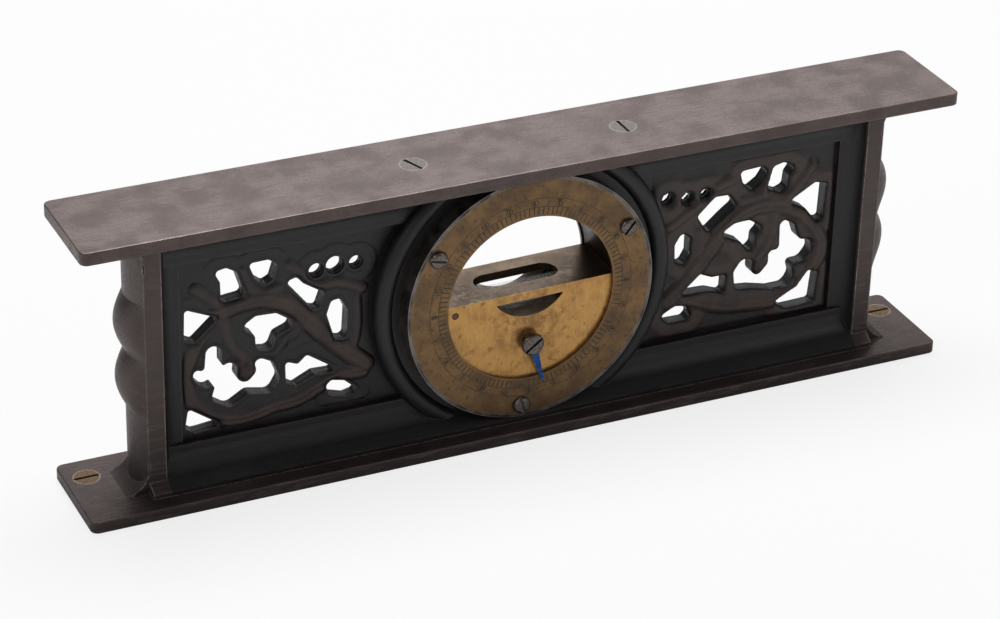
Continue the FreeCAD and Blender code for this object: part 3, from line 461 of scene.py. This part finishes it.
def wheel_brass_paint():
    """Golden brass on the wheel's faces; dull grey-brown with painted shade on its flat and inside its rim.
    """
    paint = Paint("wheel_brass")
    grain, blotch = paint.noise(1.6, detail=5), paint.noise(0.28, detail=4)
    brushed = paint.noise(3.0, stretch=(1, 1, 0.12))
    face_start, face_full = WHEEL_FACE_DEPTHS
    outer = paint.ramp(paint.without_sign(paint.y), WHEEL_FACE - face_start, WHEEL_FACE - face_full)
    face = paint.times(paint.ramp(paint.without_sign(paint.normal("Y")), 0.7, 0.9), outer)
    colour = paint.mix(face, wheel_dull(paint, blotch), wheel_gold(paint, blotch, brushed))
    colour = paint.mix(paint.times(paint.edges(0.25), 0.6), colour, GOLD_EDGE)
    paint.bump([(brushed, 0.35), (grain, 0.5)], 0.02)
    return paint.finish(colour, paint.ramp(grain, 0.3, 0.7, 0.3, 0.46), 0.8)


def plain_metal_paint(name, colour, bright, rough, metal):
    paint = Paint(name)
    grain = paint.noise(3.5, detail=5)
    shade = paint.mix(paint.ramp(grain, 0.42, 0.68), colour, tuple(value * METAL_SHADE for value in colour))
    shade = paint.mix(paint.times(paint.edges(0.2), 0.7), shade, bright)
    paint.bump([(grain, 0.6), (paint.noise(10, detail=2), 0.3)], 0.03)
    return paint.finish(shade, paint.ramp(grain, 0.3, 0.7, rough, rough + METAL_ROUGHER), metal)


def clear_paint(name, colour, alpha):
    paint = Paint(name)
    paint.shader.inputs["Alpha"].default_value = alpha
    tint = paint.mix(paint.noise(0.4, detail=2), colour, tuple(value * CLEAR_SHADE for value in colour))
    return paint.finish(tint, 0.04, 0.0)


def plaster_paint():
    paint = Paint("plaster")
    grain = paint.noise(3, detail=5)
    paint.bump([(grain, 1.0)], 0.06)
    return paint.finish(paint.mix(grain, PLASTER, PLASTER_DARK), 0.85, 0.0)


def ink_paint():
    """The black filling of the engraving, worn out here and there."""
    paint = Paint("engraving")
    gone = paint.ramp(paint.noise(0.35, detail=4), 0.42, 0.7)
    return paint.finish(paint.mix(gone, INK, INK_GONE), paint.ramp(gone, 0, 1, 0.5, 0.62), 0.2)


def dress(material, *names):
    for name in names:
        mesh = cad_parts[name].data
        mesh.materials.clear()
        mesh.materials.append(material)


def dress_frame():
    dress(frame_iron_paint(), "frame_casting")
    dress(turned_iron_paint(), "housing_drum")
    dress(aged_brass_paint(), "dial_ring")
    dress(
        wheel_brass_paint(), "vial_wheel", "vial_plug_left", "vial_plug_right", "pointer_spacer",
        "clamp_pad_left", "clamp_pad_right",
    )
    for name, (colour, bright, rough, metal, nodes) in PLAIN_METALS.items():
        dress(plain_metal_paint(name, colour, bright, rough, metal), *nodes)
    for name, (colour, alpha, node) in CLEAR_MATERIALS.items():
        dress(clear_paint(name, colour, alpha), node)
    dress(plaster_paint(), "vial_bedding")


# Carved relief of the fretwork, in millimetres
GRID = 0.36
SUNK, SKIN_DEPTH = 0.06, 0.3
ROUND_EDGE, EDGE_HEIGHT = 1.15, 0.62
GROUND_REACH, GROUND_FADE, GROUND_SHARE = 2.6, 0.8, 0.35
VEIN_WIDTH, VEIN_DEPTH, VEINED_FROM = 0.28, 0.3, 1.7
STEM_RISE, BOSS_RISE = 1.3, 1.6
BORDER_FADE = 1.2
PANEL_NEAR, PANEL_FAR, PANEL_FOOT, PANEL_HEAD = 27.5, 68.3, 9.9, 47.9
FAR_MARGIN, FOOT_MARGIN, HEAD_MARGIN = 0.4, 0.5, 0.8
RING_FOOT, RING_MARGIN, RING_OVERLAP = 30.0, 0.9, 0.4
WEB_REACH, LEVEL_EDGE, SHORTEST_SQUARE = 2, 1e-3, 1e-9
WELD = 0.002
# A face whose normal lies along Y by more than this share is part of a flat front or back
FLAT_FACE = 0.9
# Points between two of a stem's places
RUN_STEPS = 7
# Stems and leaves of the scrollwork: (half width, height, [(distance from the middle, height), ...])
STEMS = {
    "left": [
        (2.3, 1.25, [
            (31.5, 18.5), (36.0, 22.6), (41.0, 27.8), (45.6, 33.4), (51.0, 36.2), (57.0, 36.2), (62.0, 34.4),
        ]),
        (1.9, 1.15, [
            (62.0, 34.6), (65.2, 29.0), (67.0, 23.0), (65.6, 17.0), (61.6, 13.2), (56.0, 12.0), (50.0, 13.2),
        ]),
        (1.9, 1.1, [(50.0, 13.2), (45.0, 13.6), (41.0, 15.4), (37.0, 16.9), (32.0, 17.0)]),
        (1.6, 1.0, [(32.2, 34.8), (37.0, 36.9), (41.2, 37.0), (44.2, 40.4), (46.6, 42.4)]),
        (1.5, 0.95, [(48.6, 38.2), (52.4, 37.8), (55.0, 40.4), (55.6, 43.0)]),
        (1.7, 1.0, [(58.4, 36.2), (62.0, 38.6), (64.8, 41.0)]),
        (1.5, 1.0, [(59.2, 33.0), (58.6, 29.6), (57.4, 26.8), (55.6, 24.8)]),
        (1.3, 0.9, [(47.2, 31.0), (47.4, 27.4), (49.6, 24.6)]),
        (1.3, 0.9, [(34.0, 22.0), (33.0, 27.0), (33.2, 33.0)]),
    ],
    "right": [
        (2.3, 1.25, [
            (32.4, 18.6), (36.6, 22.8), (40.6, 28.0), (44.8, 33.2), (50.0, 35.8), (55.6, 35.4), (60.4, 33.2),
        ]),
        (1.9, 1.15, [
            (60.4, 33.2), (64.0, 29.0), (66.0, 24.4), (64.8, 20.6), (61.6, 17.0), (56.6, 14.2), (50.0, 14.6),
        ]),
        (1.8, 1.1, [(50.0, 14.6), (45.4, 15.0), (41.0, 16.4), (36.8, 18.0), (32.4, 18.0)]),
        (1.6, 1.0, [(32.0, 35.0), (36.0, 37.6), (41.0, 41.4), (44.6, 42.6)]),
        (1.5, 0.95, [(47.6, 38.0), (51.6, 38.2), (53.6, 41.0)]),
        (1.7, 1.0, [(57.6, 36.6), (60.4, 39.6), (62.6, 42.6)]),
        (1.5, 1.0, [(54.6, 33.4), (54.6, 29.6), (53.2, 26.4), (51.6, 24.4)]),
        (1.3, 0.9, [(45.0, 30.6), (45.6, 26.6), (47.0, 24.4)]),
        (1.3, 0.9, [(38.6, 24.4), (38.6, 28.6), (38.0, 33.0)]),
    ],
}
# The rounded boss at the heart of each scroll: distance from the middle, height, radius, rise
BOSSES = {"left": (55.0, 22.0, 2.5, 1.7), "right": (49.8, 22.9, 2.5, 1.7)}


def smooth_run(points):
    """Points of a Catmull-Rom curve through the given ones."""
    points = [np.array(point) for point in points]
    before, after = 2 * points[0] - points[1], 2 * points[-1] - points[-2]
    knots = [before] + points + [after]
    run = []
    for first, second, third, fourth in zip(knots, knots[1:], knots[2:], knots[3:]):
        slope = third - first
        bend = 2 * first - 5 * second + 4 * third - fourth
        twist = 3 * second - first - 3 * third + fourth
        for step in range(RUN_STEPS):
            share = step / RUN_STEPS
            run.append(0.5 * (2 * second + slope * share + bend * share ** 2 + twist * share ** 3))
    return np.array(run + [points[-1]])


def corner_pairs(ring):
    """Each corner of a face with the next one."""
    return list(zip(ring, ring[1:] + ring[:1]))


def wall_edges():
    """The casting's corners in millimetres, and the edges of its faces that aren't flat fronts or backs."""
    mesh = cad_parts["frame_casting"].data
    places = np.empty(len(mesh.vertices) * 3)
    mesh.vertices.foreach_get("co", places)
    places = places.reshape(-1, 3) / MM
    first_at = {}
    merged = [first_at.setdefault(tuple(place), index) for index, place in enumerate(np.round(places, 3))]
    walls = {}
    for polygon in mesh.polygons:
        if abs(polygon.normal.y) <= FLAT_FACE:
            for pair in corner_pairs([merged[index] for index in polygon.vertices]):
                walls[min(pair), max(pair)] = True
    return places, walls


def in_panel(out, level):
    """Whether a place, its distance out from the middle and its height, is within a panel's border."""
    if not PANEL_NEAR <= out <= PANEL_FAR - FAR_MARGIN:
        return False
    if not PANEL_FOOT + FOOT_MARGIN < level < PANEL_HEAD - HEAD_MARGIN:
        return False
    return math.hypot(out, level - DIAL_CENTRE) >= RING_FOOT + RING_MARGIN


def panel_openings(side):
    """Starts and ends of the openings' front edges in one panel, and the depth of the web's face."""
    places, walls = wall_edges()
    pairs = []
    web_face = None
    for first, second in walls:
        start, end = places[first], places[second]
        if not in_panel(start[0] * side, start[2]):
            continue
        if abs(start[1] - end[1]) < LEVEL_EDGE and -WEB_REACH < start[1] < 0:
            web_face = start[1]
            pairs.append((start[[0, 2]], end[[0, 2]]))
    return np.array([pair[0] for pair in pairs]), np.array([pair[1] for pair in pairs]), web_face


def nearest_edges(grid, starts, ends):
    """For each point: the nearest place on an opening's edge, its distance, and whether it is inside one."""
    along = ends - starts
    squares = np.maximum((along ** 2).sum(1), SHORTEST_SQUARE)
    nearest, distance = np.empty_like(grid), np.empty(len(grid))
    inside = np.zeros(len(grid), dtype=bool)
    for index, point in enumerate(grid):
        share = np.clip(((point - starts) * along).sum(1) / squares, 0, 1)
        feet = starts + along * share[:, None]
        gaps = ((feet - point) ** 2).sum(1)
        best = gaps.argmin()
        nearest[index], distance[index] = feet[best], math.sqrt(gaps[best])
        level = (starts[:, 1] > point[1]) != (ends[:, 1] > point[1])
        if level.any():
            rise = point[1] - starts[level, 1]
            crossings = starts[level, 0] + rise * along[level, 0] / along[level, 1]
            inside[index] = (crossings > point[0]).sum() % 2 == 1
    return nearest, distance, inside


def dome(gaps, radius):
    """Height of a round top, 1 at its middle, at some distances from there."""
    return np.sqrt(np.clip(1 - (gaps / radius) ** 2, 0, 1))


def carved_heights(name, side, grid, distance):
    """Height of the carving over the web: rounded edges, stems with veins in the wide ones, and the boss."""
    rise = np.minimum(distance / ROUND_EDGE, 1)
    ground = np.exp(-np.maximum(distance - GROUND_REACH, 0) / GROUND_FADE)
    height = EDGE_HEIGHT * np.sqrt(1 - (1 - rise) ** 2) * (GROUND_SHARE + (1 - GROUND_SHARE) * ground)
    for half, tall, points in STEMS[name]:
        run = smooth_run([(out * side, level) for out, level in points])
        gaps = np.sqrt(((grid[:, None, :] - run[None, :, :]) ** 2).sum(2)).min(1)
        stem = dome(gaps, half) * tall * np.sqrt(np.clip(rise * STEM_RISE, 0, 1))
        vein = np.exp(-(gaps / VEIN_WIDTH) ** 2) * VEIN_DEPTH * tall * (half > VEINED_FROM)
        height = np.maximum(height, stem - vein)
    out, level, radius, tall = BOSSES[name]
    gaps = np.hypot(grid[:, 0] - out * side, grid[:, 1] - level)
    return np.maximum(height, dome(gaps, radius) * tall * np.clip(rise * BOSS_RISE, 0, 1))


def carved_panel(name, side):
    """Places and heights of one panel's carving, the faces between them, and the depth of the web's face."""
    starts, ends, web_face = panel_openings(side)
    across = np.arange(PANEL_NEAR, PANEL_FAR + GRID, GRID) * side
    up = np.arange(PANEL_FOOT, PANEL_HEAD + GRID, GRID)
    grid = np.array([(x, z) for z in up for x in across])
    nearest, distance, inside = nearest_edges(grid, starts, ends)
    out, level = np.abs(grid[:, 0]), grid[:, 1]
    border = np.minimum.reduce([out - PANEL_NEAR, PANEL_FAR - out, level - PANEL_FOOT, PANEL_HEAD - level])
    ring = np.hypot(out, level - DIAL_CENTRE) - RING_FOOT
    heights = carved_heights(name, side, grid, distance)
    heights *= np.clip(np.minimum(border, ring) / BORDER_FADE, 0, 1)
    heights[inside] = 0
    places = np.where(inside[:, None], nearest, grid)
    keep = ~inside & (ring > -RING_OVERLAP)
    cells = []
    columns = len(across)
    for row in range(len(up) - 1):
        for column in range(columns - 1):
            corner = row * columns + column
            quad = (corner, corner + 1, corner + columns + 1, corner + columns)
            if any(keep[index] for index in quad):
                cells.append(quad)
    used = sorted({index for quad in cells for index in quad})
    number = {index: place for place, index in enumerate(used)}
    faces = [tuple(number[index] for index in quad) for quad in cells]
    return places[used], heights[used], faces, web_face


def relief_mesh(places, heights, faces, web_face, sign):
    """The carving as a closed skin that stands on the web; sign is 1 on the front and -1 on the back."""
    top = [
        (x * MM, sign * (web_face + SUNK - height) * MM, z * MM) for (x, z), height in zip(places, heights)
    ]
    under = [(x * MM, sign * (web_face + SUNK + SKIN_DEPTH) * MM, z * MM) for x, z in places]
    count = len(places)
    sides = dict.fromkeys(pair for quad in faces for pair in corner_pairs(quad))
    rim = [(first, second) for first, second in sides if (second, first) not in sides]
    skirt = [(second, first, first + count, second + count) for first, second in rim]
    bottom = [tuple(index + count for index in reversed(quad)) for quad in faces]
    mesh = bpy.data.meshes.new("relief")
    mesh.from_pydata(top + under, [], faces + bottom + skirt)
    return mesh


def clean_mesh(mesh):
    """Joins doubled corners, turns the faces outwards and shades them smooth."""
    work = bmesh.new()
    work.from_mesh(mesh)
    bmesh.ops.remove_doubles(work, verts=work.verts, dist=WELD * MM)
    bmesh.ops.recalc_face_normals(work, faces=work.faces)
    work.to_mesh(mesh)
    work.free()
    for polygon in mesh.polygons:
        polygon.use_smooth = True


def add_reliefs():
    material = carved_iron_paint()
    for name, side in (("left", -1), ("right", 1)):
        panel = carved_panel(name, side)
        for face, sign in (("front", 1), ("back", -1)):
            mesh = relief_mesh(*panel, sign)
            mesh.materials.append(material)
            clean_mesh(mesh)
            piece = add_object("relief_%s_%s" % (name, face), mesh)
            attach(piece, "frame")


# Engraving of the dial, in degrees and millimetres
FULL_TURN, HALF_TURN, QUARTER_TURN = 360, 180, 90
TICK_STEP, LONG_STEP = 3, 15
TICK_WIDTH, LINE_WIDTH, INK_RISE = 0.2, 0.11, 0.012
TICK_INNER, TICK_OUTER, LONG_OUTER = 17.55, 19.05, 20.7
CIRCLES = (19.1, 20.85)
STRIP_CORNERS = 4
NUMBER_RADIUS, NUMBER_SIZE, NUMBER_ROUNDNESS = 19.95, 1.8225, 2


def dial_point(radius, angle):
    """A point just off the dial's face; angles count from the right, counter-clockwise from the front."""
    turn = math.radians(angle)
    out, up = radius * math.cos(turn), radius * math.sin(turn)
    return (out * MM, (DIAL_FACE - INK_RISE) * MM, (DIAL_CENTRE + up) * MM)


def dial_strip(inner, outer, start, end):
    """Four corners between two radii and two angles."""
    corners = ((inner, start), (outer, start), (outer, end), (inner, end))
    return [dial_point(radius, angle) for radius, angle in corners]


def add_engraving():
    spread = math.degrees(TICK_WIDTH / 2 / TICK_OUTER)
    points = []
    for angle in range(0, FULL_TURN, TICK_STEP):
        outer = LONG_OUTER if angle % LONG_STEP == 0 else TICK_OUTER
        points.extend(dial_strip(TICK_INNER, outer, angle - spread, angle + spread))
    for radius in CIRCLES:
        for angle in range(0, FULL_TURN, TICK_STEP):
            points.extend(dial_strip(radius, radius + LINE_WIDTH, angle, angle + TICK_STEP))
    starts = range(0, len(points), STRIP_CORNERS)
    faces = [tuple(range(start, start + STRIP_CORNERS)) for start in starts]
    mesh = bpy.data.meshes.new("dial_engraving")
    mesh.from_pydata(points, [], faces)
    material = ink_paint()
    mesh.materials.append(material)
    piece = add_object("dial_engraving", mesh)
    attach(piece, "housing")
    add_numbers(material)


def number_text(angle):
    """The degrees from the level at one place on the dial, with their feet towards its middle."""
    value = min(angle % HALF_TURN, HALF_TURN - angle % HALF_TURN)
    curve = bpy.data.curves.new("number", "FONT")
    curve.body, curve.size = str(value), NUMBER_SIZE * MM
    curve.align_x, curve.align_y = "CENTER", "CENTER"
    curve.resolution_u = NUMBER_ROUNDNESS
    text = add_object("number", curve)
    turn = Matrix.Rotation(-math.radians(angle - QUARTER_TURN), 4, "Y")
    upright = Matrix.Rotation(math.radians(QUARTER_TURN), 4, "X")
    text.matrix_world = Matrix.Translation(Vector(dial_point(NUMBER_RADIUS, angle))) @ turn @ upright
    return text


def add_numbers(material):
    """The dial's numbers, joined into one flat piece."""
    texts = [number_text(angle) for angle in range(0, FULL_TURN, LONG_STEP)]
    bpy.context.view_layer.update()
    points, faces = [], []
    depsgraph = bpy.context.evaluated_depsgraph_get()
    for text in texts:
        filled = text.evaluated_get(depsgraph)
        mesh = filled.to_mesh()
        start = len(points)
        points.extend(tuple(text.matrix_world @ vertex.co) for vertex in mesh.vertices)
        faces.extend(tuple(start + index for index in polygon.vertices) for polygon in mesh.polygons)
        filled.to_mesh_clear()
    for text in texts:
        bpy.data.objects.remove(text)
    mesh = bpy.data.meshes.new("dial_numbers")
    mesh.from_pydata(points, [], faces)
    mesh.materials.append(material)
    piece = add_object("dial_numbers", mesh)
    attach(piece, "housing")


add_camera()
add_world()
add_floor()
for lamp in LAMPS:
    add_lamp(**lamp)
dress_frame()
add_reliefs()
add_engraving()

bpy.context.scene.view_settings.view_transform = "Standard"
